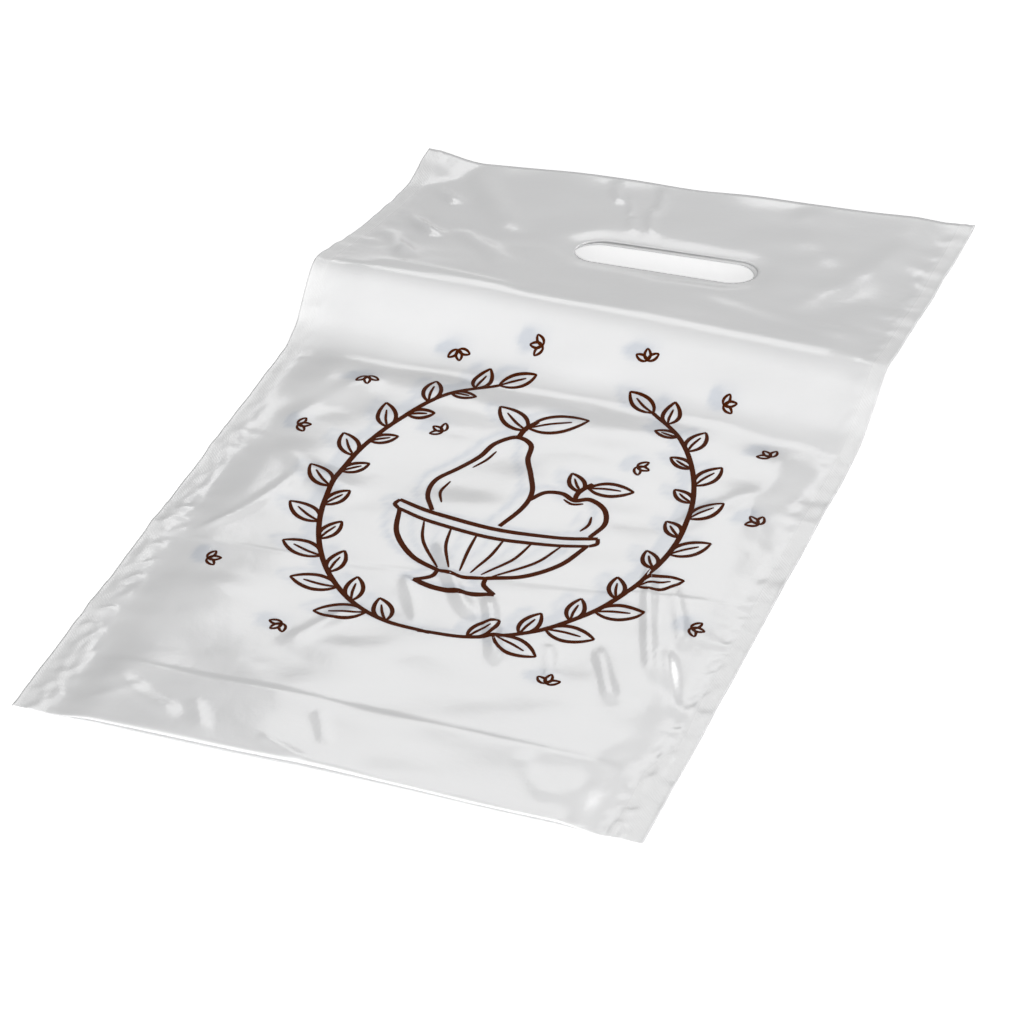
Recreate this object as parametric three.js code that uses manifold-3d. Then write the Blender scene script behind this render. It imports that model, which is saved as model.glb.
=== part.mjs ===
// A white plastic carrier bag, empty and lying on its back, in millimetres.
//
// The bag is one length of thin plastic tube. Its bottom is tucked in between the two panels as a
// gusset, its two sides are welded shut from the gusset to the mouth, and a grip slot is punched
// through both panels near the mouth. It has been packed over a fold, so a fold ridge still stands
// up across it below the slot, and the film falls from that ridge in a short steep step.
//
// +X runs across the bag, +Y runs from the bottom folds to the mouth, and +Z is up. The origin is
// under the middle of the bag, on the surface that it lies on.
import * as THREE from "three";
import { mergeVertices } from "three/addons/utils/BufferGeometryUtils.js";
import Module from "manifold-3d";

// The bag as it would measure when it is pressed flat.
const bagWidth = 300; // from one side edge to the other
const bagLength = 516; // film from the bottom folds to the mouth
const gussetDepth = 46; // how far the bottom is tucked in
const sideWeld = 9; // width of the welded strip along each side
const cornerWeld = 16; // width of the weld where it holds the gusset, at the two bottom corners
const cornerWeldEase = 24; // film that the weld takes to narrow, above the gusset
const slotLength = 96; // grip slot, across the bag
const slotWidth = 27; // grip slot, along the bag
const slotFromMouth = 82; // from the mouth to the middle of the slot
const slotAside = 11; // from the middle of the bag to the middle of the slot, towards +X

// The film and the air that lies in the folded bag.
const filmWall = 0.5; // a working wall for film that is really 0.05 thick
const panelGap = 1.2; // air between the two panels
const gussetGap = 0.8; // air between neighbouring layers of the gusset
const weldSqueeze = 0.7; // share of that air which the welds press out
const weldEase = 26; // how far in from the side weld the panels take to part

// The fold ridge, measured along the film, and its height above the surface below.
const ridgeFromMouth = 157; // from the mouth to the top of the ridge
const ridgeHeightLeft = 28; // at the side edge at -X
const ridgeHeightRight = 18; // at the side edge at +X
const stepFilmLeft = 42; // film in the step below the ridge, at the side edge at -X
const stepFilmRight = 48; // film in the step below the ridge, at the side edge at +X
const footRound = 12; // film that the foot of the step takes to turn, each way from its middle
const ridgeRound = 5; // height that the rounding takes off the top of the ridge, times two
const backHollow = 1.7; // how hollow the film runs from the ridge down to the mouth; 1 is straight
const mouthRise = 9; // height of the mouth at the side edge at +X; at -X it touches the surface

// Slack in the upper panel, and the lifted corner of the mouth.
const crownHeight = 1.1; // rise of the upper panel along the middle of the bag
const gussetEase = 46; // film that the upper panel takes to come down from the gusset
const swellHeight = 1.4; // rise of the loose fold in front of the step
const swellLength = 44; // length of that loose fold, along the film
const cornerLift = 6; // rise of the mouth's corner at -X
const cornerLiftReach = 42; // how far from the corner that rise begins

// How finely the film is divided.
const lastColumn = 15; // columns across the bag are counted from 0 at -X to this at +X
const roundSteps = 3; // in each quarter turn of a bottom fold
const slotSteps = 10; // in each round end of the slot

const halfWidth = bagWidth / 2;
const gussetStack = 4 * filmWall + 3 * gussetGap; // all four layers at the gusset
const panelStack = 2 * filmWall + panelGap; // the two panels beyond it
const foldTurn = filmWall + gussetGap / 2; // outer radius of a bottom fold
const ridgeAt = bagLength - ridgeFromMouth;
const firstFoot = ridgeAt - Math.max(stepFilmLeft, stepFilmRight);
const cutMargin = 4; // how far a cutting solid stands clear of what it cuts
const mouthMargin = 2; // the last points before the mouth stand this far short of it

const { clamp, lerp, smoothstep } = THREE.MathUtils;

// Points along the film, close together where it turns. Every outline uses the same ones, so that
// the two faces of a wall stay a wall apart.
function dividedBetween(from, to, parts) {
  return Array.from({ length: parts }, (_, i) => lerp(from, to, i / parts));
}

const gussetStops = dividedBetween(0, gussetDepth, 4).slice(1);
const bodyStops = [
  ...dividedBetween(gussetDepth, gussetDepth + gussetEase, 4),
  ...dividedBetween(gussetDepth + gussetEase, firstFoot - swellLength, 4),
  ...dividedBetween(firstFoot - swellLength, firstFoot - footRound, 3),
  ...dividedBetween(firstFoot - footRound, ridgeAt - ridgeRound, 7),
  ...dividedBetween(ridgeAt - ridgeRound, ridgeAt + 2 * ridgeRound, 4),
  ...dividedBetween(ridgeAt + 2 * ridgeRound, bagLength - mouthMargin, 8),
  bagLength - mouthMargin,
];

// Width of the side weld at film length s.
function weldAt(s) {
  return lerp(cornerWeld, sideWeld, smoothstep(s, gussetDepth, gussetDepth + cornerWeldEase));
}

// Place across the bag of a column at film length s. The columns beside the outermost ones follow
// the inner edges of the two side welds, and the rest are spread evenly between.
function acrossAt(column, s) {
  const inner = halfWidth - weldAt(s);
  if (column === 0 || column === lastColumn) {
    return column ? halfWidth : -halfWidth;
  }
  return lerp(-inner, inner, (column - 1) / (lastColumn - 2));
}

// Height of the bag's underside at film length s: the lower of the step and the slope behind the
// ridge, run together with a rounded top.
function undersideHeight(x, s) {
  const toRight = (x + halfWidth) / bagWidth;
  const crest = lerp(ridgeHeightLeft, ridgeHeightRight, toRight) + ridgeRound / 2;
  const stepFilm = lerp(stepFilmLeft, stepFilmRight, toRight);
  const run = s - ridgeAt + stepFilm;
  const turned = Math.max(run + footRound, 0) ** 2 / (4 * footRound);
  const step = ((run < footRound ? turned : run) * crest) / stepFilm;
  const mouth = mouthRise * toRight;
  const behind = Math.max(bagLength - s, 0) / ridgeFromMouth;
  const back = mouth + (crest - mouth) * behind ** backHollow;
  const overlap = Math.max(2 * ridgeRound - Math.abs(step - back), 0);
  return Math.max(Math.min(step, back) - overlap ** 2 / (8 * ridgeRound), 0);
}

// Place along the bag and slope of the underside. Film can't stretch, so where it climbs it covers
// less ground: each short length of film covers its own cosine.
function underside(x, s) {
  const probe = 0.5;
  const slopeAt = (q) => (undersideHeight(x, q + probe) - undersideHeight(x, q - probe)) / (2 * probe);
  const parts = Math.max(1, Math.ceil(Math.abs(s) / 2));
  let y = 0;
  for (let i = 0; i < parts; i += 1) {
    const slope = slopeAt((s * (i + 0.5)) / parts);
    y += (Math.sqrt(1 - slope ** 2) * s) / parts;
  }
  return { y, z: undersideHeight(x, s), slope: slopeAt(s) };
}

// Thickness of the bag before the welds and the slack change it.
function stackAt(s) {
  return lerp(gussetStack, panelStack, smoothstep(s, gussetDepth, gussetDepth + gussetEase));
}

// How far the upper panel moves from its plain place: down where the welds press the air out, up
// along the middle and over the loose fold in front of the step.
function panelLift(x, s) {
  const parted = smoothstep(halfWidth - weldAt(s) - Math.abs(x), 0, weldEase);
  const pressed = (stackAt(s) - 2 * filmWall) * weldSqueeze * (parted - 1);
  const across = 1 - (x / halfWidth) ** 2;
  const toSwell = clamp((s - firstFoot + swellLength / 2) / (swellLength / 2), -1, 1);
  const swell = (swellHeight * (1 + Math.cos(Math.PI * toSwell))) / 2;
  return pressed + parted * (crownHeight * across + swell);
}

// Rise of the lifted corner of the mouth.
function cornerRise(x, s) {
  const away = Math.hypot(x + halfWidth, s - bagLength);
  return cornerLift * (1 - smoothstep(away, 0, cornerLiftReach));
}

// Carries a point of the flat bag to its place in the lying bag: x across, s along the film and n
// up through its layers.
function lay(x, s, n) {
  const layer = clamp((n - filmWall) / (stackAt(s) - 2 * filmWall), 0, 1);
  const up = n + layer * panelLift(x, s);
  const base = underside(x, s);
  const level = Math.sqrt(1 - base.slope ** 2);
  return new THREE.Vector3(x, base.y - up * base.slope, base.z + up * level + cornerRise(x, s));
}

// Draws a line of the section through the given places along the film, at the height that each has.
function trace(outline, stops, height) {
  stops.forEach((s) => outline.lineTo(s, height(s)));
}

// The section of the bag as a solid slab with its two bottom folds, in film length and layer height.
function slabOutline() {
  const outline = new THREE.Shape();
  outline.absarc(foldTurn, foldTurn, foldTurn, Math.PI / 2, Math.PI * 1.5);
  trace(outline, [...gussetStops, ...bodyStops, bagLength], () => 0);
  trace(outline, [...gussetStops, ...bodyStops, bagLength].reverse(), stackAt);
  outline.absarc(foldTurn, gussetStack - foldTurn, foldTurn, Math.PI / 2, Math.PI * 1.5);
  return outline;
}

// The section of the groove between the two bottom folds, inside the tucked-in gusset.
function grooveOutline() {
  const outline = new THREE.Shape();
  const stops = [foldTurn, ...gussetStops, gussetDepth - filmWall];
  outline.moveTo(-cutMargin, 2 * foldTurn);
  trace(outline, stops, () => 2 * foldTurn);
  trace(outline, stops.reverse(), () => gussetStack - 2 * foldTurn);
  outline.lineTo(-cutMargin, gussetStack - 2 * foldTurn);
  return outline;
}

// The section of the space inside, which runs past the mouth and has the gusset standing in it.
function insideOutline() {
  const outline = new THREE.Shape();
  const mouthStops = [...bodyStops, bagLength + cutMargin];
  const tongueStops = [...gussetStops, gussetDepth];
  const turn = gussetGap / 2;
  outline.absarc(foldTurn, foldTurn, turn, Math.PI / 2, Math.PI * 1.5);
  trace(outline, [...gussetStops, ...mouthStops], () => filmWall);
  trace(outline, [...gussetStops, ...mouthStops].reverse(), (s) => stackAt(s) - filmWall);
  outline.absarc(foldTurn, gussetStack - foldTurn, turn, Math.PI / 2, Math.PI * 1.5);
  trace(outline, tongueStops, () => gussetStack - 2 * foldTurn + filmWall);
  trace(outline, tongueStops.reverse(), () => 2 * foldTurn - filmWall);
  return outline;
}

// Carries an outline across the bag from one column to another, as the bag lies. The ends are
// divided into triangles only after laying, so that they follow the bent film.
function acrossColumns(outline, from, to) {
  const section = outline.getPoints(roundSteps);
  const size = section.length;
  const points = [];
  for (let column = from; column <= to; column += 1) {
    points.push(...section.map((at) => lay(acrossAt(column, at.x), at.x, at.y)));
  }
  const faces = [];
  for (let a = 0; a < points.length - size; a += 1) {
    const b = (a + 1) % size ? a + 1 : a + 1 - size;
    faces.push(a, b, b + size, a, b + size, a + size);
  }
  const lastRing = points.length - size;
  const endFaces = (start) => {
    const ring = points.slice(start, start + size).map((p) => new THREE.Vector2(p.y, p.z));
    return THREE.ShapeUtils.triangulateShape(ring, []);
  };
  endFaces(0).forEach(([a, b, c]) => faces.push(c, b, a));
  endFaces(lastRing).forEach(([a, b, c]) => faces.push(lastRing + a, lastRing + b, lastRing + c));
  const geometry = new THREE.BufferGeometry().setFromPoints(points);
  geometry.setIndex(faces);
  return geometry;
}

// A solid with the outline of the grip slot, square to the film at the middle of the slot.
function slotCutter() {
  const end = slotWidth / 2;
  const straight = slotLength / 2 - end;
  const outline = new THREE.Shape();
  outline.absarc(-straight, 0, end, Math.PI / 2, Math.PI * 1.5);
  outline.absarc(straight, 0, end, -Math.PI / 2, Math.PI / 2);
  outline.closePath();
  const depth = 2 * (panelStack + crownHeight + cutMargin);
  const geometry = new THREE.ExtrudeGeometry(outline, {
    depth,
    bevelEnabled: false,
    curveSegments: slotSteps,
  });
  const base = underside(slotAside, bagLength - slotFromMouth);
  geometry.translate(0, 0, -depth / 2);
  geometry.rotateX(Math.asin(base.slope));
  geometry.translate(slotAside, base.y, base.z);
  return geometry;
}

const wasm = await Module();
wasm.setup();

function solidFrom(geometry) {
  const bare = geometry.clone();
  bare.deleteAttribute("normal");
  bare.deleteAttribute("uv");
  const merged = mergeVertices(bare, 1e-4);
  return new wasm.Manifold(
    new wasm.Mesh({
      numProp: 3,
      vertProperties: merged.attributes.position.array,
      triVerts: new Uint32Array(merged.index.array),
    }),
  );
}

function geometryFrom(solid) {
  const mesh = solid.getMesh();
  const geometry = new THREE.BufferGeometry();
  geometry.setAttribute("position", new THREE.BufferAttribute(mesh.vertProperties, 3));
  geometry.setIndex(new THREE.BufferAttribute(mesh.triVerts, 1));
  geometry.computeVertexNormals();
  return geometry;
}

// The film: the slab, less the space inside, the gusset's groove and the grip slot. The first two
// stop at the side welds.
function bagFilm() {
  const slab = solidFrom(acrossColumns(slabOutline(), 0, lastColumn));
  const inside = solidFrom(acrossColumns(insideOutline(), 1, lastColumn - 1));
  const groove = solidFrom(acrossColumns(grooveOutline(), 1, lastColumn - 1));
  const slot = solidFrom(slotCutter());
  return geometryFrom(slab.subtract(inside).subtract(groove).subtract(slot));
}

const film = new THREE.MeshStandardMaterial({
  color: 0xe6e6e8,
  roughness: 0.34,
  metalness: 0,
  side: THREE.DoubleSide,
});

const carrierBag = new THREE.Mesh(bagFilm(), film);
carrierBag.name = "carrier_bag";
carrierBag.geometry.computeBoundingBox();
const reach = carrierBag.geometry.boundingBox;
carrierBag.position.y = -(reach.min.y + reach.max.y) / 2;

const bag = new THREE.Group();
bag.add(carrierBag);

export default bag;
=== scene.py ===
# %% [markdown]
# # A white plastic carrier bag
#
# The object is an empty carrier bag of thin, glossy, milk-white film, lying on its back. It is a
# tube of film with its bottom tucked in as a gusset, its sides welded, its mouth open, and a grip
# slot punched through both panels. A fold ridge from packing still stands up across it.
#
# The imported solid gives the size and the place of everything. Here one new piece of film stands
# for that solid, with the fine creases that only a render shows, and thin strokes of ink lie on it.

import bpy
import numpy as np
from mathutils import Matrix, Vector


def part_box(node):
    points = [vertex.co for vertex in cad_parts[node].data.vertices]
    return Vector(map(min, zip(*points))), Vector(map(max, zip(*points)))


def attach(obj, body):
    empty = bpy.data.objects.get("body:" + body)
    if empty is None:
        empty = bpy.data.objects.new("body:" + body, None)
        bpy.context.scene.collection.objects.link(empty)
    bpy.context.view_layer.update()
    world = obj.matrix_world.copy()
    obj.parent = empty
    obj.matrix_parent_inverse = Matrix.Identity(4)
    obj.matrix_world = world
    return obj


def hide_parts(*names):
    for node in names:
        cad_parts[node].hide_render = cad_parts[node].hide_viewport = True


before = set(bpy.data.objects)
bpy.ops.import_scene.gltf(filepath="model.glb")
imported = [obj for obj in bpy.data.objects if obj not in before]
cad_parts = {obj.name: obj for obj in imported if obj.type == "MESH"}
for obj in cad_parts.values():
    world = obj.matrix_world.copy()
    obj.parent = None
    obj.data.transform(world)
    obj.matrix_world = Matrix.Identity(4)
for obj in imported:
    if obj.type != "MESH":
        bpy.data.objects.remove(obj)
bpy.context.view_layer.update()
low_corner, high_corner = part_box("carrier_bag")
print("bag, lowest and highest corner in metres:", tuple(low_corner), tuple(high_corner))

# %% [markdown]
# ## The sizes of the bag
#
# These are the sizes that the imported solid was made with, in millimetres, except that thin film
# turns over the ridge on a radius of 3 mm, where the thicker solid takes 5. A place on the bag is
# given by `x`, across it from the middle, and by `s`, the length of film from the bottom folds.
# Film bends but doesn't stretch, so `s` stays true wherever the film climbs or falls.

# %% Sizes of the flat bag and of the fold ridge, in millimetres
WIDTH, LENGTH, GUSSET = 300.0, 516.0, 46.0
SIDE_WELD, CORNER_WELD, CORNER_WELD_EASE = 9.0, 16.0, 24.0
SLOT_LENGTH, SLOT_WIDTH, SLOT_ASIDE = 96.0, 27.0, 11.0
SLOT_AT = LENGTH - 82.0
RIDGE_FROM_MOUTH = 157.0
RIDGE_LEFT, RIDGE_RIGHT = 28.0, 18.0
STEP_LEFT, STEP_RIGHT = 42.0, 48.0
FOOT_ROUND, RIDGE_ROUND, BACK_HOLLOW = 12.0, 3.0, 1.7
MOUTH_RISE, CORNER_LIFT, CORNER_REACH = 9.0, 6.5, 34.0
RIDGE_AT = LENGTH - RIDGE_FROM_MOUTH
FIRST_FOOT = RIDGE_AT - STEP_RIGHT
FRONT_Y = low_corner.y * 1000
FILM, FOLD_INSET = 0.24, 1.2
CREEP_LEFT, CREEP_FORWARD = 1.0, 3.5
print("the ridge stands", RIDGE_AT, "mm up the film, the slot", SLOT_AT)

# %% [markdown]
# ## How the bag lies
#
# The film under the bag runs flat, climbs a short step to the ridge, and falls in a long hollow
# curve to the mouth. That curve can be written down, so no simulation is needed: a height for each
# place on the film. The place along the bag then follows, because each short length of film covers
# only its own cosine of ground.


# %% The curve that the film lies on
def ease(value, low, high):
    """0 up to low, 1 from high on, and the curve 3t^2 - 2t^3 in between."""
    t = np.clip((value - low) / (high - low), 0, 1)
    return t * t * (3 - 2 * t)


def waves(x, s, seed, longest, shortest, count):
    """A sum of count sine waves with seeded directions, phases and lengths, about 1 high."""
    rng = np.random.default_rng(seed)
    total = np.zeros(np.broadcast(x, s).shape)
    for length in np.geomspace(longest, shortest, count):
        turn, phase = rng.uniform(0, 2 * np.pi, 2)
        total += np.sin(2 * np.pi * (x * np.cos(turn) + s * np.sin(turn)) / length + phase)
    return total / np.sqrt(count)


def rest_height(x, s):
    """The lower of two curves, run together with a rounded top: the step, a parabola that turns
    into a straight climb, and the back, which rises from the mouth to the crest as the distance
    from the mouth to the power BACK_HOLLOW."""
    right = (x + WIDTH / 2) / WIDTH
    crest = RIDGE_LEFT + (RIDGE_RIGHT - RIDGE_LEFT) * right + RIDGE_ROUND / 2
    film = STEP_LEFT + (STEP_RIGHT - STEP_LEFT) * right
    run = s - RIDGE_AT + film
    turned = np.maximum(run + FOOT_ROUND, 0) ** 2 / (4 * FOOT_ROUND)
    step = np.where(run < FOOT_ROUND, turned, run) * crest / film
    mouth = MOUTH_RISE * right
    behind = np.maximum(LENGTH - s, 0) / RIDGE_FROM_MOUTH
    back = mouth + (crest - mouth) * behind**BACK_HOLLOW
    overlap = np.maximum(2 * RIDGE_ROUND - np.abs(step - back), 0)
    return np.maximum(np.minimum(step, back) - overlap**2 / (8 * RIDGE_ROUND), 0)


def rest_slope(x, s):
    """Rise per millimetre of film: the height half a millimetre ahead less that half behind."""
    return rest_height(x, s + 0.5) - rest_height(x, s - 0.5)


TABLE_X = np.linspace(-WIDTH / 2, WIDTH / 2, 61)
TABLE_S = np.arange(-4.0, LENGTH + 5.0)
table_slope = rest_slope(TABLE_X[:, None], TABLE_S[None, :] + 0.5)
ground = np.cumsum(np.sqrt(1 - table_slope**2), axis=1)
ground -= ground[:, 3:4]
print("ground covered at the left and right edge:", ground[0, -5].round(1), ground[-1, -5].round(1))


# %% Carrying a place on the flat bag to the lying bag
def look_up(grid, x, s):
    """The value of a table over (x, s), straight between its four nearest entries."""
    i = np.clip((x - TABLE_X[0]) / (TABLE_X[1] - TABLE_X[0]), 0, len(TABLE_X) - 1.001)
    j = np.clip(s - TABLE_S[0] - 1, 0, len(TABLE_S) - 1.001)
    i0, j0 = i.astype(int), j.astype(int)
    a, b = i - i0, j - j0
    near = grid[i0, j0] * (1 - b) + grid[i0, j0 + 1] * b
    far = grid[i0 + 1, j0] * (1 - b) + grid[i0 + 1, j0 + 1] * b
    return near * (1 - a) + far * a


def lay(x, s, n):
    """Place in millimetres of a point n above the underside: forward by the ground covered, up by
    the rest height, then n along the film's own normal. The mouth's left corner is lifted a
    little, the welded edges ruffle up by parts of a millimetre, and no edge is quite straight."""
    slope = rest_slope(x, s)
    away = np.hypot(x + WIDTH / 2, s - LENGTH)
    corner = CORNER_LIFT * (1 - ease(away, 0, CORNER_REACH))
    edge = ease(np.abs(x), 112, 150)
    ruffle = edge * np.maximum(0.7 * waves(x * 0.4, s, 21, 70, 16, 6), 0)
    x_edge = x + 0.25 * edge * (waves(0 * x, s, 22, 120, 20, 6) - 1.2)
    front = 0.5 * (1 - ease(s, -1, 24)) * (1.3 + waves(x, 0 * s, 23, 150, 30, 5))
    y = look_up(ground, x, s) - n * slope + front
    z = rest_height(x, s) + n * np.sqrt(1 - slope**2) + corner + ruffle
    return np.stack([np.where(x > 0, x_edge, 2 * x - x_edge), y + FRONT_Y, z], axis=-1)


# %% [markdown]
# ## Creases, folds and slack in the upper panel
#
# Thin film keeps every fold that it has had. Each one is a soft ridge along a line on the flat bag,
# so one function makes them all: a bell-shaped rise across the line, faded out at its ends. Broad
# slack is a sum of long waves with seeded directions.


# %% One crease along a line, and seeded slack
def crease(x, s, start, end, height, reach, bow=0.0):
    """A ridge over the line from start to end: height * exp(-(across / reach)^2), faded over a
    fifth of its length at each end. bow bends the line sideways as a parabola."""
    line = np.subtract(end, start)
    length = np.hypot(*line)
    dx, ds = x - start[0], s - start[1]
    along = (dx * line[0] + ds * line[1]) / length**2
    across = (dx * line[1] - ds * line[0]) / length - bow * 4 * along * (1 - along)
    ends = ease(along, -0.02, 0.2) * (1 - ease(along, 0.8, 1.02))
    return height * np.exp(-((across / reach) ** 2)) * ends


sample = waves(TABLE_X, 200.0, 3, 190, 80, 6)
print("slack across the bag, from", sample.min().round(2), "to", sample.max().round(2))

# %% The folds that show on the upper panel, as start, end, height, reach and bow
FOLDS = [
    ((-152, 143), (-60, 145), 0.24, 1.5, 0.0),
    ((-72, 144), (36, 160), 0.24, 1.5, 1.0),
    ((20, 155), (154, 177), 0.24, 1.5, -1.0),
    ((-128, 148), (-99, 210), 1.1, 2.4, 6.0),
    ((-14, 178), (26, 122), 1.25, 2.8, 2.0),
    ((-20, 150), (2, 112), 0.7, 2.8, 0.0),
    ((22, 146), (46, 94), 1.3, 2.8, -1.0),
    ((84, 200), (118, 104), 1.2, 2.8, 2.0),
    ((96, 186), (122, 132), 0.75, 2.8, -2.0),
    ((112, 136), (148, 68), 1.3, 2.6, 1.0),
    ((84, 126), (106, 84), 1.1, 2.9, 0.0),
    ((62, 120), (74, 92), 0.75, 2.8, 0.0),
    ((-30, 120), (-52, 78), 0.7, 4.0, 0.0),
    ((-118, 232), (-60, 196), 0.8, 7.0, 4.0),
    ((-90, 300), (-128, 246), 0.9, 6.0, 0.0),
    ((118, 262), (86, 214), 0.8, 5.0, 3.0),
    ((140, 210), (112, 252), 0.8, 4.0, -2.0),
    ((-120, 512), (-68, 440), 1.8, 7.0, 4.0),
    ((-106, 436), (-60, 392), 1.6, 6.0, -3.0),
    ((-150, 466), (-104, 420), 3.0, 4.2, 3.0),
    ((-152, 436), (-108, 380), 3.0, 4.2, -3.0),
    ((-150, 496), (-112, 466), 2.0, 4.0, 0.0),
    ((-42, 514), (-32, 488), 1.4, 2.0, 2.0),
    ((-33, 497), (-23, 475), 1.1, 1.9, -2.0),
    ((-18, 512), (-11, 478), 1.5, 2.1, -2.0),
    ((-15, 490), (-3, 456), 1.4, 2.1, 2.0),
    ((-22, 476), (-14, 457), 1.0, 1.9, 1.0),
    ((60, 512), (96, 452), 1.2, 8.0, 3.0),
    ((128, 500), (84, 396), 1.0, 9.0, -4.0),
    ((34, 404), (140, 384), 0.8, 6.0, 3.0),
    ((-128, 372), (-40, 366), 0.8, 4.0, 0.0),
    ((-124, 40), (-72, 14), 0.8, 5.0, 3.0),
    ((-118, 14), (-96, 32), 0.4, 3.0, 0.0),
    ((-72, 28), (-58, 6), 0.6, 2.4, 0.0),
    ((-16, 38), (-2, 14), 0.6, 2.4, 0.0),
    ((-34, 12), (-6, 1), 0.6, 2.4, 0.0),
    ((80, 40), (104, 12), 0.5, 4.0, 2.0),
    ((132, 60), (137, 4), 0.9, 1.8, 0.0),
]
print(len(FOLDS), "folds")


# %% [markdown]
# ## The layers of the bag
#
# From below, the section holds the lower panel, the two leaves of the tucked-in gusset, and the
# upper panel. The welds press all of them together, and they part over a few centimetres inwards.
# The punch presses the panels together too, so the slot's outline is worked out here already.


# %% Heights of the film's layers above the surface that the bag lies on
def weld_width(s):
    """The side weld: 9 mm wide, and 16 mm where it holds the gusset."""
    return CORNER_WELD + (SIDE_WELD - CORNER_WELD) * ease(s, GUSSET, GUSSET + CORNER_WELD_EASE)


def parted(x, s, reach=26.0):
    """0 on the welds, rising to 1 over the given reach inside them."""
    return ease(WIDTH / 2 - weld_width(s) - np.abs(x), 0, reach)


def slot_distance(x, s, shift=0.0):
    """Distance to the slot's outline, negative inside: the distance to its middle line, less half
    its width. Also gives the direction that leads away from the slot. shift is 1 on the lower
    panel, whose slot has crept a little to the left and forward."""
    straight = (SLOT_LENGTH - SLOT_WIDTH) / 2
    dx = x - SLOT_ASIDE + CREEP_LEFT * shift
    dx = dx - np.clip(dx, -straight, straight)
    ds = s - SLOT_AT + CREEP_FORWARD * shift
    reach = np.maximum(np.hypot(dx, ds), 1e-6)
    return reach - SLOT_WIDTH / 2, dx / reach, ds / reach


def pucker(x, s):
    """Small crinkles that a weld leaves beside it: short waves, strongest 6 mm inside its edge, and
    more of them low down on the left and at the right bottom corner. Each is a sharp ridge where a
    sum of waves passes through nought."""
    inside = WIDTH / 2 - weld_width(s) * 0.6 - np.abs(x)
    band = np.exp(-(((inside - 3) / 6.5) ** 2))
    left = (x < 0) * (0.35 + 0.65 * (1 - ease(s, 150, 230)))
    right = (x > 0) * (0.4 + 0.6 * (1 - ease(s, 90, 160)))
    broad = 0.5 + 0.5 * waves(x * 0.7, s, 11, 16, 7, 6)
    sharp = np.maximum(1 - 1.6 * np.abs(waves(x, s * 0.8, 12, 24, 9, 6)), 0)
    return band * (left + right) * (0.45 * broad + 0.9 * sharp)


def upper_height(x, s):
    """Height of the upper panel: 3.6 mm over the gusset, easing to 1.4 mm, pressed to the film's
    own thickness at the welds and close to the other panel round the punched slot, with the
    crown, the loose fold before the step, creases and slack."""
    stack = 3.6 - 1.6 * ease(s, GUSSET, GUSSET + 26) - 0.6 * ease(s, GUSSET - 1.6, GUSSET + 1.6)
    crown = 1.1 * (1 - (x / (WIDTH / 2)) ** 2)
    hump = 0.5 + 0.5 * np.cos(np.pi * np.clip((s - FIRST_FOOT + 22) / 26, -1, 1))
    swell = 2.2 * hump * (1 - 0.6 * ease(x, -60, 120))
    folds = sum(crease(x, s, *fold) for fold in FOLDS)
    slack = 0.75 * waves(x, s, 3, 190, 80, 6) + 0.22 * waves(x, s, 8, 62, 24, 9)
    slack *= 1 - 0.8 * np.exp(-(((s - RIDGE_AT) / 22) ** 2))
    lip = np.exp(-(((x - SLOT_ASIDE - 12) / 26) ** 2 + ((s - SLOT_AT + 15) / 9) ** 2))
    lifted = np.exp(-(((x - SLOT_ASIDE + 6) / 40) ** 2 + ((s - SLOT_AT - 14) / 7) ** 2))
    punched = np.exp(-((np.maximum(slot_distance(x, s)[0], 0) / 9) ** 2))
    free = stack + crown + swell + folds + slack + pucker(x, s)
    free = (free - 1.1 * lip + 0.4 * lifted) * (1 - 0.72 * punched)
    bead = 0.3 * np.exp(-(((WIDTH / 2 - np.abs(x)) / 1.1) ** 2))
    bound = 0.42 + 0.9 * pucker(x, s) + bead
    return bound + parted(x, s) * np.maximum(free - bound, 0.25)


def layer_heights(x, s):
    """Heights of the lower panel, the gusset's two leaves and the upper panel."""
    lower = np.full(np.broadcast(x, s).shape, FILM / 2 + 0.01)
    upper = upper_height(x, s)
    return lower, lower + (upper - lower) / 3, lower + (upper - lower) * 2 / 3, upper


print("upper panel over the gusset:", upper_height(np.array([0.0]), np.array([20.0])).round(2))

# %% [markdown]
# ## One strip of film from mouth to mouth
#
# The whole bag is one strip of film: up the lower panel, round the first bottom fold, in along the
# gusset, round its inner fold, out again, round the second bottom fold and back along the upper
# panel. It is worked out as a grid, columns across the bag by rows along that path. Each row has
# two faces, half a film's thickness out from the middle along the film's normal.


# %% Rows along the strip and columns across the bag
def spread(marks, gaps):
    """Places between marks, each stretch divided evenly into steps of about its own gap."""
    parts = [
        np.linspace(a, b, max(1, round((b - a) / g)), endpoint=False)
        for a, b, g in zip(marks, marks[1:], gaps)
    ]
    return np.concatenate(parts + [marks[-1:]])


half = WIDTH / 2
slot_low, slot_high = SLOT_AT - SLOT_WIDTH / 2, SLOT_AT + SLOT_WIDTH / 2
slot_left, slot_right = SLOT_ASIDE - SLOT_LENGTH / 2, SLOT_ASIDE + SLOT_LENGTH / 2
columns = spread(
    [-half, 1.5 - half, 34 - half, slot_left - 3, slot_left + 14]
    + [slot_right - 14, slot_right + 3, half - 34, half - 1.5, half],
    [0.75, 1.75, 2.9, 1.5, 2.2, 1.5, 2.2, 1.75, 0.75],
)
upper_stops = spread(
    [FOLD_INSET, 60, 138, 180, 300, 400, slot_low - 3, slot_high + 3, LENGTH],
    [2.0, 2.3, 1.4, 2.8, 2.4, 2.3, 1.5, 2.4],
)
lower_stops = spread(
    [FOLD_INSET, 260, 380, slot_low - 9, slot_high + 3, LENGTH], [20, 6, 8, 2.3, 10]
)[::-1]
leaf_stops = np.linspace(FOLD_INSET, GUSSET - 1.0, 9)
bend = np.linspace(-np.pi / 2, np.pi / 2, 7)[1:-1]
print(len(columns), "columns,", len(upper_stops), "rows on the upper panel")


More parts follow.
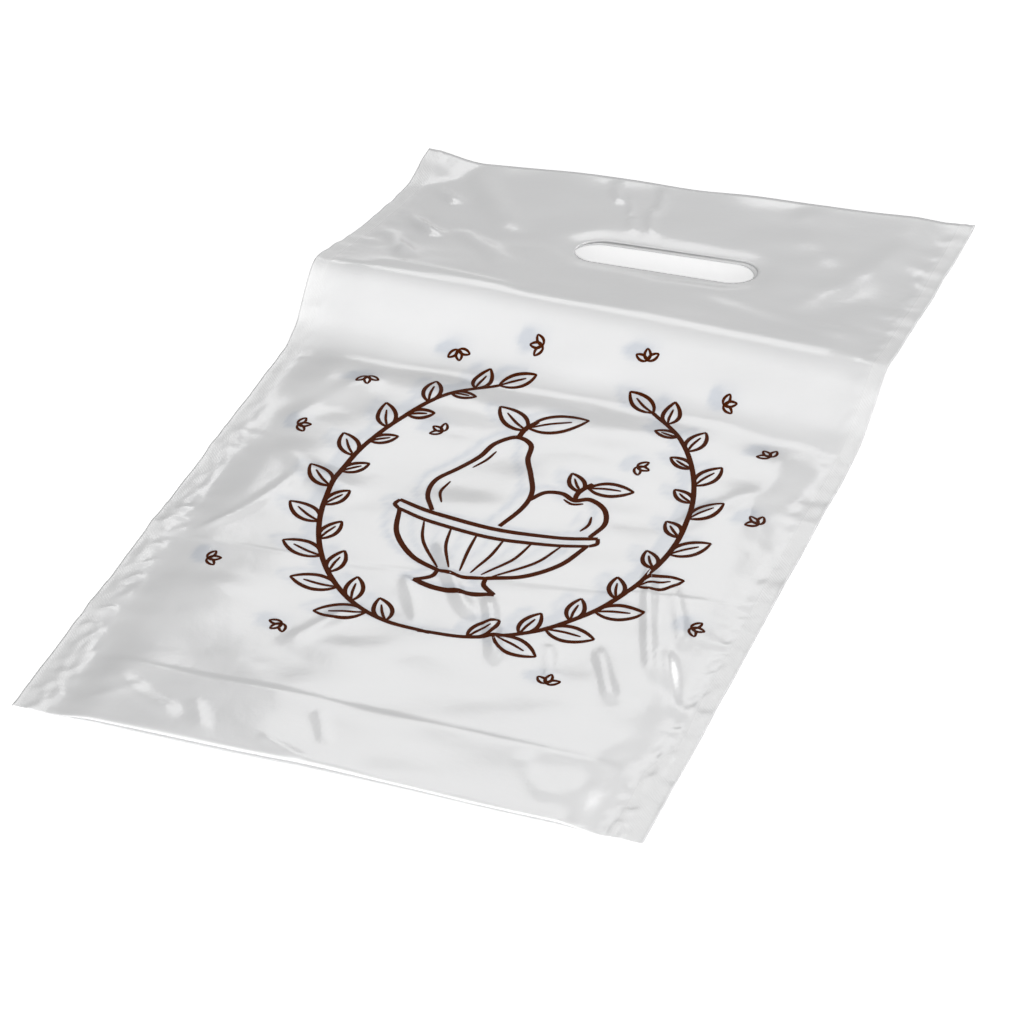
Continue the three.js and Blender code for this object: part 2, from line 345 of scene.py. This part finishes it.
# %% The middle of the film and its normal, row by row
def panel_rows(stops, layer, side):
    """Rows of a flat layer: its places along the film, its heights, and a normal straight up (side
    1) or down (side -1)."""
    x, s = np.meshgrid(columns, stops)
    n = layer_heights(x, s)[layer]
    return x, s, n, np.zeros_like(x), np.full_like(x, side)


def fold_rows(layer, at, way):
    """Rows round a fold between a layer and the next one up: a half circle whose diameter is the
    gap between them. way is -1 for a fold that bulges to the front and 1 for the inner one,
    whose outer face is on its hollow side."""
    x, turn = np.meshgrid(columns, bend)
    heights = layer_heights(x, np.full_like(x, at))
    radius = (heights[layer + 1] - heights[layer]) / 2
    s = at - way * FOLD_INSET * (1 - np.cos(turn))
    n = heights[layer] + radius * (1 + np.sin(turn))
    return x, s, n, -np.cos(turn) * np.ones_like(x), -way * np.sin(turn) * np.ones_like(x)


strip = [
    panel_rows(lower_stops, 0, -1),
    fold_rows(0, 0.0, -1),
    panel_rows(leaf_stops, 1, 1),
    fold_rows(1, GUSSET, 1),
    panel_rows(leaf_stops[::-1], 2, -1),
    fold_rows(2, 0.0, -1),
    panel_rows(upper_stops, 3, 1),
]
grid_x, grid_s, grid_n, out_s, out_n = (np.concatenate(part) for part in zip(*strip))
row_count, column_count = grid_x.shape
first_upper_row = row_count - len(upper_stops)
print("the strip is", row_count, "rows by", column_count, "columns")

# %% [markdown]
# ## The grip slot
#
# The slot is a long hole with round ends, punched through both panels in one stroke. The grid's
# cells inside it are left out, and the vertices round the hole are moved onto its outline, so the
# edge is as clean as a punch leaves it.


# %% Cutting the slot from the grid
def middles(grid):
    """The mean of each cell's four corners."""
    return (grid[1:, 1:] + grid[1:, :-1] + grid[:-1, 1:] + grid[:-1, :-1]) / 4


crept = np.zeros(grid_x.shape)
crept[: len(lower_stops)] = 1.0
cut = slot_distance(middles(grid_x), middles(grid_s), middles(crept))[0] < 0
kept = ~cut
padded_cut = np.pad(cut, 1)
touches_cut = padded_cut[1:, 1:] | padded_cut[1:, :-1] | padded_cut[:-1, 1:] | padded_cut[:-1, :-1]
padded_kept = np.pad(kept, 1)
touches_kept = (
    padded_kept[1:, 1:] | padded_kept[1:, :-1] | padded_kept[:-1, 1:] | padded_kept[:-1, :-1]
)
rim = touches_cut & touches_kept
distance, away_x, away_s = slot_distance(grid_x, grid_s, crept)
grid_x = np.where(rim, grid_x - distance * away_x, grid_x)
grid_s = np.where(rim, grid_s - distance * away_s, grid_s)
print(int(cut.sum()), "cells are punched out,", int(rim.sum()), "vertices lie on the slot's edge")

# %% Both faces of the film, laid out
outer = lay(grid_x, grid_s + out_s * FILM / 2, grid_n + out_n * FILM / 2)
inner = lay(grid_x, grid_s - out_s * FILM / 2, grid_n - out_n * FILM / 2)
upper_sheet = outer[first_upper_row:]
print("lowest point of the film:", outer[..., 2].min().round(3), "mm")


# %% Joining the grid into one closed shell
def shell_faces(kept, shape):
    """Four-cornered faces: each kept cell once on the outer face and once, turned over, on the
    inner one, and a wall between the two faces wherever a kept cell has no kept neighbour. Also
    tells which faces are smooth: all but the walls, so that the film's edge stays crisp."""
    index = np.arange(shape[0] * shape[1]).reshape(shape)
    deep = index + index.size
    a, b, c, d = index[:-1, :-1], index[:-1, 1:], index[1:, 1:], index[1:, :-1]
    faces = [np.stack([a, b, c, d], -1)[kept]]
    faces.append((np.stack([a, d, c, b], -1) + index.size)[kept])
    wide = np.pad(kept, 1)
    sides = [
        (wide[:-2, 1:-1], b, a),
        (wide[1:-1, 2:], c, b),
        (wide[2:, 1:-1], d, c),
        (wide[1:-1, :-2], a, d),
    ]
    for neighbour, p, q in sides:
        open_side = kept & ~neighbour
        faces.append(np.stack([p, q, deep.ravel()[q], deep.ravel()[p]], -1)[open_side])
    smooth = np.zeros(sum(map(len, faces)), bool)
    smooth[: 2 * len(faces[0])] = True
    return np.concatenate(faces), smooth


def mesh_piece(name, points, faces, smooth):
    """A mesh object from an array of places in millimetres, an array of faces and which of them are
    smooth. Vertices that no face uses are left out."""
    used, faces = np.unique(faces, return_inverse=True)
    faces = faces.reshape(-1, 4)
    mesh = bpy.data.meshes.new(name)
    mesh.from_pydata((points[used] / 1000).tolist(), [], faces.tolist())
    mesh.polygons.foreach_set("use_smooth", smooth)
    mesh.update()
    piece = bpy.data.objects.new(name, mesh)
    bpy.context.scene.collection.objects.link(piece)
    return piece, used


film_points = np.concatenate([outer.reshape(-1, 3), inner.reshape(-1, 3)])
bag_film, used = mesh_piece("bag_film", film_points, *shell_faces(kept, grid_x.shape))
film_triangles = 2 * len(bag_film.data.polygons)
print("film:", len(bag_film.data.vertices), "vertices,", film_triangles, "triangles")

# %% Flat-bag coordinates and the weld, kept on the mesh for its material
flat_x = np.concatenate([grid_x.ravel()] * 2)[used]
flat_s = np.concatenate([grid_s.ravel()] * 2)[used]
corner_vertex = np.empty(len(bag_film.data.loops), np.int32)
bag_film.data.loops.foreach_get("vertex_index", corner_vertex)
flat_map = bag_film.data.uv_layers.new(name="flat_bag")
flat_uv = np.stack([flat_x, flat_s], -1)[corner_vertex] / 1000
flat_map.data.foreach_set("uv", flat_uv.astype(np.float32).ravel())
weld_amount = ease(weld_width(flat_s) - (WIDTH / 2 - np.abs(flat_x)), -2.0, 2.0)
weld = bag_film.data.attributes.new("weld", "FLOAT", "POINT")
weld.data.foreach_set("value", weld_amount.astype(np.float32))
print("share of vertices on a weld:", weld_amount.mean().round(2))

# %% [markdown]
# ## The print
#
# The upper panel carries a drawing in dark brown ink: a leafy wreath round a bowl of fruit. Each
# stroke is a real thin strip, thicker in its middle than at its ends, as a pen draws it. It is laid
# on the film by looking up the film's own grid, so that it follows every crease.


# %% Laying points on the film's upper panel
def on_upper_panel(x, s, up):
    """Places on the upper panel, up millimetres above its surface: straight between the four
    nearest vertices of the film's grid, so that a stroke never sinks into a face."""
    i = np.clip(np.interp(s, upper_stops, np.arange(len(upper_stops))), 0, len(upper_stops) - 1.001)
    j = np.clip(np.interp(x, columns, np.arange(len(columns))), 0, len(columns) - 1.001)
    i0, j0 = i.astype(int), j.astype(int)
    a, b = (i - i0)[..., None], (j - j0)[..., None]
    near = upper_sheet[i0, j0] * (1 - b) + upper_sheet[i0, j0 + 1] * b
    far = upper_sheet[i0 + 1, j0] * (1 - b) + upper_sheet[i0 + 1, j0 + 1] * b
    slope = rest_slope(x, s)
    level = np.stack([np.zeros_like(x), -slope, np.sqrt(1 - slope**2)], -1)
    return near * (1 - a) + far * a + up * level


def smooth_line(points, step=1.1):
    """A curve through the given points (Catmull-Rom: each stretch leaves along the line between its
    neighbours), divided about every step millimetres."""
    p = np.asarray(points, float)
    p = np.concatenate([[2 * p[0] - p[1]], p, [2 * p[-1] - p[-2]]])
    pieces = []
    for a, b, c, d in zip(p, p[1:], p[2:], p[3:]):
        count = max(2, int(np.hypot(*(c - b)) / step))
        t = np.linspace(0, 1, count, endpoint=False)[:, None]
        curve = 2 * b + (c - a) * t + (2 * a - 5 * b + 4 * c - d) * t**2
        pieces.append((curve + (3 * b - a - 3 * c + d) * t**3) / 2)
    return np.concatenate(pieces + [p[-2:-1]])


# %% The strokes, one after another
strokes = []


def stroke(points, width, taper=0.45):
    """Notes a pen stroke: its line on the flat bag, and its width, which narrows to taper times
    itself at both ends along half a sine."""
    line = smooth_line(points)
    along = np.linspace(0, 1, len(line))
    strokes.append((line, 1.12 * width * (taper + (1 - taper) * np.sin(np.pi * along) ** 0.6)))


def turned(points, angle, centre):
    """Points turned by an angle about the origin and moved to a centre."""
    c, s = np.cos(angle), np.sin(angle)
    return np.asarray(points, float) @ np.array([[c, s], [-s, c]]) + centre


def leaf(centre, angle, length, width=1.9, rib=True):
    """A leaf from its stalk at centre: two bowed sides that meet at the tip, each a sine to the
    power 0.8 that leans towards the stalk, and a rib."""
    t = np.linspace(0, 1, 7)
    side = length * 0.23 * np.sin(np.pi * t) ** 0.8 * (1.12 - 0.3 * t)
    for way in (-1, 1):
        stroke(turned(np.stack([t * length, way * side], -1), angle, centre), width)
    if rib:
        middle = length * np.array([(0, 0), (0.35, 0.03), (0.72, 0)])
        stroke(turned(middle, angle, centre), 1.3)


MIDDLE = np.array([6.0, 214.0])
print("the drawing is centred at", MIDDLE)

# %% The wreath: two bowed branches with leaves on both sides
for way in (-1, 1):
    turns = np.radians(90 - way * np.linspace(182, 28, 21))
    spine = MIDDLE + np.stack([86 * np.cos(turns), 106 * np.sin(turns)], -1)
    stroke(spine[::2], 2.4, 0.8)
    for k in range(2, 20):
        heading = np.arctan2(*(spine[k + 1] - spine[k - 1])[::-1])
        outside = k % 2 == 1
        lean = 0.75 * way * (-1 if outside else 1)
        leaf(spine[k], heading + lean, (26 if outside else 20) - 0.4 * k)
    leaf(spine[20], np.arctan2(*(spine[20] - spine[19])[::-1]), 20)
print(len(strokes), "strokes in the wreath")


# %% A fluted bowl with a pear and an apple inside the wreath
def draw(points, width, taper=0.8):
    """A stroke given from the middle of the wreath."""
    stroke(MIDDLE + points, width, taper)


rim = np.array([(-50, -12), (-30, -18), (0, -21), (30, -18), (50, -12)], float)
draw(rim, 2.4)
draw(rim * (0.96, 1) - (0, 7), 2.2)
draw([(-50, -12), (-51, -16), (-48, -19)], 2.0)
draw([(50, -12), (51, -16), (48, -19)], 2.0)
for way in (-1, 1):
    draw([(way * 47, -20), (way * 41, -38), (way * 28, -52), (way * 12, -59)], 2.4)
    draw([(way * 12, -59), (way * 13, -64), (way * 20, -69)], 2.2)
for u in (-0.72, -0.4, -0.1, 0.2, 0.5, 0.8):
    draw([(u * 45, -27 + 4 * u * u), (u * 37, -42 + 3 * u * u), (u * 18, -57)], 1.5, 0.4)
draw([(-12, -59), (0, -61), (12, -59)], 2.0)
draw([(-20, -69), (-8, -72), (8, -72), (20, -69)], 3.0)
pear = [(-32, -16), (-39, -4), (-40, 9), (-33, 22), (-27, 34), (-24, 46), (-16, 54), (-7, 50)]
pear += [(-4, 38), (2, 26), (8, 12), (8, -2), (3, -18)]
draw(pear, 2.4)
draw([(-15, 53), (-14, 61), (-10, 68)], 2.6)
draw([(-33, 10), (-34, 0), (-30, -9)], 1.4, 0.4)
draw([(-27, 24), (-23, 32), (-21, 40)], 1.3, 0.4)
draw([(9, 6), (14, 14), (22, 16), (29, 13), (36, 16), (45, 11), (49, 0), (46, -12)], 2.4)
draw([(29, 13), (29, 20), (33, 28)], 2.4)
draw([(41, 4), (42, -3), (40, -9)], 1.4, 0.4)
draw([(24, 12), (29, 10), (34, 12)], 1.3, 0.4)
STALK_LEAVES = [((-13, 62), 0.5, 30), ((-13, 60), 2.5, 24)]
STALK_LEAVES += [((32, 24), 0.2, 22), ((30, 20), 2.2, 16)]
for centre, heading, length in STALK_LEAVES:
    leaf(MIDDLE + centre, heading, length, 2.0)
print(len(strokes), "strokes with the bowl")

# %% Small sprigs scattered round the drawing
rng = np.random.default_rng(5)
SPRIGS = [(-98, 292), (-62, 326), (-20, 336), (34, 338), (78, 322), (112, 290), (124, 236)]
SPRIGS += [(-116, 246), (-112, 130), (120, 150), (-58, 94), (72, 90), (-46, 262), (54, 262)]
for place in SPRIGS:
    heading = rng.uniform(0, 2 * np.pi)
    for part in range(3):
        leaf(np.array(place, float), heading + (part - 1) * 1.0, 6.8, 1.3, rib=False)
print(len(strokes), "strokes in all")


# %% Turning the strokes into thin closed strips of ink
INK_OVER, INK_UNDER = 0.15, -0.10


def ink_strip(line, width):
    """Rows of four corners along a line, left and right of it by half its width, a little over
    the film's surface and a little under it."""
    ahead = np.gradient(line, axis=0)
    ahead /= np.maximum(np.hypot(ahead[:, 0], ahead[:, 1]), 1e-9)[:, None]
    beside = np.stack([-ahead[:, 1], ahead[:, 0]], -1) * width[:, None] / 2
    left, right = line + beside, line - beside
    rows = [on_upper_panel(*left.T, INK_OVER), on_upper_panel(*right.T, INK_OVER)]
    rows += [on_upper_panel(*right.T, INK_UNDER), on_upper_panel(*left.T, INK_UNDER)]
    return np.stack(rows, 1)


ink_points, ink_faces, count = [], [], 0
for line, width in strokes:
    rows = ink_strip(line, width)
    k = count + 4 * np.arange(len(rows) - 1)[:, None]
    corner = np.arange(4)
    after = (corner + 1) % 4
    sides = np.stack([k + corner, k + corner + 4, k + after + 4, k + after], -1).reshape(-1, 4)
    last = count + 4 * (len(rows) - 1)
    ends = [[count, count + 1, count + 2, count + 3], [last + 3, last + 2, last + 1, last]]
    ink_points.append(rows.reshape(-1, 3))
    ink_faces.append(np.concatenate([sides, ends]))
    count += 4 * len(rows)
ink_faces = np.concatenate(ink_faces)
flat_shaded = np.zeros(len(ink_faces), bool)
print_ink, _ = mesh_piece("print_ink", np.concatenate(ink_points), ink_faces, flat_shaded)
print("ink:", 2 * len(print_ink.data.polygons), "triangles")

# %% [markdown]
# ## The ink's shade behind the film, painted into its colour
#
# Milky film lets some light through, and the ink stops it. So each stroke shows a faint, cool
# double of its shadow on the layer behind, a few millimetres to its side, and a wider soft shade
# round it. Both are painted shadow here: a cooler grey painted into the upper panel's colour, not
# cast by the lamps. The ink's cover is counted on a grid of 1 mm, moved away from the light and
# blurred by two amounts, and each vertex of the upper panel reads its value there.

# %% Counting the ink on a grid, and blurring it
def ink_cover(shift, reach):
    """The strokes' ink on a grid of 1 mm, moved by shift and blurred: each cell becomes the mean of
    its neighbours, weighted by a bell whose width is reach."""
    cover = np.zeros((301, 517))
    for line, width in strokes:
        spot = np.rint(line + (WIDTH / 2, 0) + shift).astype(int)
        np.add.at(cover, (spot[:, 0], spot[:, 1]), width)
    bell = np.exp(-((np.arange(-12, 13) / reach) ** 2) / 2)
    for axis in (0, 1):
        cover = np.apply_along_axis(np.convolve, axis, cover, bell / bell.sum(), "same")
    return cover


# Painted shadow of the ink: a wide soft shade and a sharp double, moved left and back, away from
# the front lamp
soft_painted_shade, painted_double_shadow = ink_cover((-2.5, 3.0), 4.2), ink_cover((-6.5, 2.0), 1.3)
cover = np.clip(0.95 * soft_painted_shade + 1.3 * painted_double_shadow, 0, 1)
# The painted shadow is kept on the film's vertices as the attribute ink_shade, for the film's
# colour
on_upper = np.tile(np.arange(grid_x.size) >= first_upper_row * column_count, 2)[used]
spot = np.rint(np.stack([flat_x + 150, np.clip(flat_s, 0, LENGTH)])).astype(int)
shade = bag_film.data.attributes.new("ink_shade", "FLOAT", "POINT")
shade.data.foreach_set("value", (cover[spot[0], spot[1]] * on_upper).astype(np.float32))
print("the shade reaches", cover.max(), "and covers", (cover > 0.2).mean().round(2), "of the bag")

# %% [markdown]
# ## Materials
#
# The film is milky polyethylene: near white, with a soft gloss, and a faint cool cast where it lies
# double. The ink's shade is painted into its colour as a cooler grey. Its surface is never quite
# smooth, so a bump of fine waves breaks up the highlights, and the welds are rougher, with the fine
# slanting lines that a heated bar leaves. The ink is a thin satin coat, a little uneven.


# %% A small class that writes shader maths as Python
class Value:
    """A shader socket that can be added, subtracted and multiplied like a number."""

    def __init__(self, nodes, socket):
        self.nodes, self.socket = nodes, socket

    def maths(self, operation, first, second):
        """One Math node with the given operation."""
        return self.nodes.make("ShaderNodeMath", {"operation": operation}, {0: first, 1: second})

    def __add__(self, other):
        return self.maths("ADD", self, other)

    def __radd__(self, other):
        return self.maths("ADD", other, self)

    def __sub__(self, other):
        return self.maths("SUBTRACT", self, other)

    def __rsub__(self, other):
        return self.maths("SUBTRACT", other, self)

    def __mul__(self, other):
        return self.maths("MULTIPLY", self, other)

    def __rmul__(self, other):
        return self.maths("MULTIPLY", other, self)


class Nodes:
    """The node tree of a new material or world, its owner, with one way to add a node."""

    def __init__(self, owner):
        owner.use_nodes = True
        self.owner, self.tree = owner, owner.node_tree
        self.tree.nodes.clear()

    def make(self, kind, settings=None, inputs=None, output=0):
        """Adds a node, makes its settings, then fills its sockets with values or links."""
        node = self.tree.nodes.new(kind)
        for key, setting in (settings or {}).items():
            setattr(node, key, setting)
        for key, given in (inputs or {}).items():
            if isinstance(given, Value):
                self.tree.links.new(given.socket, node.inputs[key])
            else:
                node.inputs[key].default_value = given
        return Value(self, node.outputs[output] if node.outputs else None)

    def blend(self, factor, first, second):
        """A colour between two colours."""
        node = self.tree.nodes.new("ShaderNodeMix")
        node.data_type = "RGBA"
        for place, given in ((0, factor), (6, first), (7, second)):
            socket = node.inputs[place]
            if isinstance(given, Value):
                self.tree.links.new(given.socket, socket)
            else:
                socket.default_value = given
        return Value(self, node.outputs[2])


# %% The film
film = Nodes(bpy.data.materials.new("milky_film"))
place = film.make("ShaderNodeTexCoord", output="Object")
flat = film.make("ShaderNodeUVMap", {"uv_map": "flat_bag"})
on_weld = film.make("ShaderNodeAttribute", {"attribute_name": "weld"}, output="Fac")
cloud = film.make("ShaderNodeTexNoise", inputs={"Vector": place, "Scale": 9.0, "Detail": 3.0})
cast = film.blend(cloud, (0.79, 0.793, 0.80, 1), (0.85, 0.85, 0.85, 1))
welded = film.blend(on_weld * 0.6, cast, (0.88, 0.88, 0.88, 1))
# Painted shadow: the ink's shade, read from ink_shade, darkens the film's colour to a cool grey
behind = film.make("ShaderNodeAttribute", {"attribute_name": "ink_shade"}, output="Fac")
painted_shade_colour = film.blend(behind * 0.9, welded, (0.62, 0.65, 0.70, 1))
ripple = film.make("ShaderNodeTexNoise", inputs={"Vector": place, "Scale": 70.0, "Detail": 4.0})
fine = film.make("ShaderNodeTexNoise", inputs={"Vector": place, "Scale": 420.0, "Detail": 3.0})
slanted = film.make(
    "ShaderNodeTexWave",
    {"bands_direction": "DIAGONAL"},
    {"Vector": flat, "Scale": 360.0, "Distortion": 2.0, "Detail": 2.0},
)
relief = ripple * 0.55 + fine * 0.07 + slanted * on_weld * 0.09
normal = film.make("ShaderNodeBump", inputs={"Strength": 0.5, "Distance": 0.0007, "Height": relief})
gloss = 0.12 + cloud * 0.10 + on_weld * 0.12
shader = film.make(
    "ShaderNodeBsdfPrincipled",
    inputs={"Base Color": painted_shade_colour, "Roughness": gloss, "IOR": 1.5, "Normal": normal},
)
film.make("ShaderNodeOutputMaterial", inputs={"Surface": shader})
bag_film.data.materials.append(film.owner)
print("film material has", len(film.tree.nodes), "nodes")

# %% The ink
ink = Nodes(bpy.data.materials.new("brown_ink"))
place = ink.make("ShaderNodeTexCoord", output="Object")
patch = ink.make("ShaderNodeTexNoise", inputs={"Vector": place, "Scale": 160.0, "Detail": 4.0})
brown = ink.blend(patch, (0.050, 0.010, 0.002, 1), (0.090, 0.019, 0.004, 1))
grain = ink.make("ShaderNodeTexNoise", inputs={"Vector": place, "Scale": 900.0, "Detail": 2.0})
normal = ink.make("ShaderNodeBump", inputs={"Strength": 0.3, "Distance": 0.0002, "Height": grain})
shader = ink.make(
    "ShaderNodeBsdfPrincipled",
    inputs={
        "Base Color": brown,
        "Roughness": 0.40 + patch * 0.12,
        "Specular IOR Level": 0.02,
        "Normal": normal,
    },
)
ink.make("ShaderNodeOutputMaterial", inputs={"Surface": shader})
print_ink.data.materials.append(ink.owner)
print("ink material has", len(ink.tree.nodes), "nodes")

# %% [markdown]
# ## Fixing the pieces to the frame
#
# Film and ink ride on the bag's only body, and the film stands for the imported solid.

# %% Riding and replacing
for piece in (bag_film, print_ink):
    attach(piece, "root")
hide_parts("carrier_bag")

# %% [markdown]
# ## Floor and light
#
# A plain white floor and a plain white world. The film's own shape shows only if the light comes
# from one side, so a soft lamp stands low in front, and the slopes that face it turn white while
# the level film stays pale grey. Behind the bag stand a square soft box, which the level film
# mirrors in wide pale patches, and a narrow one, which only the flanks of creases mirror, as white
# streaks. The floor adds a glow for camera and reflections, which makes it white and still lets it
# take the bag's shadow.

# %% The floor
FLOOR_REACH, FLOOR_LEVEL, FLOOR_GLOW = 12.0, -0.0002, 0.68


def seen_rays(nodes):
    """1 for a ray from the camera, off a mirror or through glass, and 0 for one that lights the
    object: the largest of three of the Light Path node's answers."""
    answers = ("Is Camera Ray", "Is Glossy Ray", "Is Transmission Ray")
    camera, mirror, glass = (nodes.make("ShaderNodeLightPath", output=name) for name in answers)
    return camera.maths("MAXIMUM", camera.maths("MAXIMUM", camera, mirror), glass)


floor_mesh = bpy.data.meshes.new("floor")
sides = [(-1, -1), (1, -1), (1, 1), (-1, 1)]
corners = [(x * FLOOR_REACH, y * FLOOR_REACH, FLOOR_LEVEL) for x, y in sides]
floor_mesh.from_pydata(corners, [], [(0, 1, 2, 3)])
floor = bpy.data.objects.new("floor", floor_mesh)
bpy.context.scene.collection.objects.link(floor)
paper = Nodes(bpy.data.materials.new("white_floor"))
plain = paper.make("ShaderNodeBsdfDiffuse", inputs={"Color": (0.9, 0.9, 0.9, 1)})
strength = seen_rays(paper) * FLOOR_GLOW
glow = paper.make("ShaderNodeEmission", inputs={"Color": (1, 1, 1, 1), "Strength": strength})
both = paper.make("ShaderNodeAddShader", inputs={0: plain, 1: glow})
paper.make("ShaderNodeOutputMaterial", inputs={"Surface": both})
floor_mesh.materials.append(paper.owner)
print("floor reaches", FLOOR_REACH, "m each way")

# %% The world
WORLD_LIGHT = 0.19
studio = Nodes(bpy.data.worlds.new("studio"))
bpy.context.scene.world = studio.owner
strength = seen_rays(studio) * (1 - WORLD_LIGHT) + WORLD_LIGHT
sky = studio.make("ShaderNodeBackground", inputs={"Color": (1, 1, 1, 1), "Strength": strength})
studio.make("ShaderNodeOutputWorld", inputs={"Surface": sky})
print("world strength", WORLD_LIGHT, "and 1 where the camera or a reflection sees it")


# %% The lamps
def lamp(name, position, target, size, tall, energy, mirrored=True):
    """A soft box, size wide and tall high, at a position and turned so that it shines at a target.
    One that isn't mirrored lights the film but leaves no glare on it."""
    light = bpy.data.lights.new(name, "AREA")
    light.shape, light.size, light.size_y, light.energy = "RECTANGLE", size, tall, energy
    holder = bpy.data.objects.new(name, light)
    holder.location = position
    toward = Vector(target) - Vector(position)
    holder.rotation_euler = toward.to_track_quat("-Z", "Y").to_euler()
    holder.visible_glossy = mirrored
    bpy.context.scene.collection.objects.link(holder)


lamp("front_lamp", (0.86, -2.36, 0.68), (0, 0, 0), 1.3, 1.3, 66, mirrored=False)
lamp("front_glow", (1.3, -1.9, 0.85), (0, 0, 0), 2.0, 2.0, 13)
lamp("back_lamp", (-0.60, 1.70, 1.42), (0.05, -0.1, 0), 0.8, 0.7, 5.5)
lamp("back_strip", (0.36, 1.80, 1.28), (0.0, 0.0, 0), 0.3, 1.7, 14)
print("four lamps")

# %% [markdown]
# ## The camera
#
# It stands 35 degrees above the bag and 22 degrees to its right, two metres away, with a long lens
# and a slight tilt to the left.

# %% The camera's place, direction and lens
DISTANCE = 2.0189
PHOTO_WIDTH, FOCAL_PIXELS = 1024, 4265.0
elevation, azimuth, tilt = np.radians([35.311, 22.29, -2.245])
aim = Vector((0.008949, (212.316 + FRONT_Y) / 1000, 0.0))
back = Vector(
    (np.sin(azimuth) * np.cos(elevation), -np.cos(azimuth) * np.cos(elevation), np.sin(elevation))
)
right = (-back).cross(Vector((0, 0, 1))).normalized()
up = right.cross(-back)
tilted_right = right * np.cos(tilt) + up * np.sin(tilt)
tilted_up = up * np.cos(tilt) - right * np.sin(tilt)
camera = bpy.data.objects.new("camera", bpy.data.cameras.new("camera"))
camera.data.sensor_width = 36.0
camera.data.lens = FOCAL_PIXELS / PHOTO_WIDTH * camera.data.sensor_width
camera.data.clip_start, camera.data.clip_end = 0.1, 50
turn = Matrix((tilted_right, tilted_up, back)).transposed().to_4x4()
camera.matrix_world = Matrix.Translation(aim + back * DISTANCE) @ turn
bpy.context.scene.collection.objects.link(camera)
bpy.context.scene.camera = camera
bpy.context.scene.view_settings.view_transform = "Standard"
print("lens", round(camera.data.lens, 1), "mm")

bpy.context.view_layer.update()
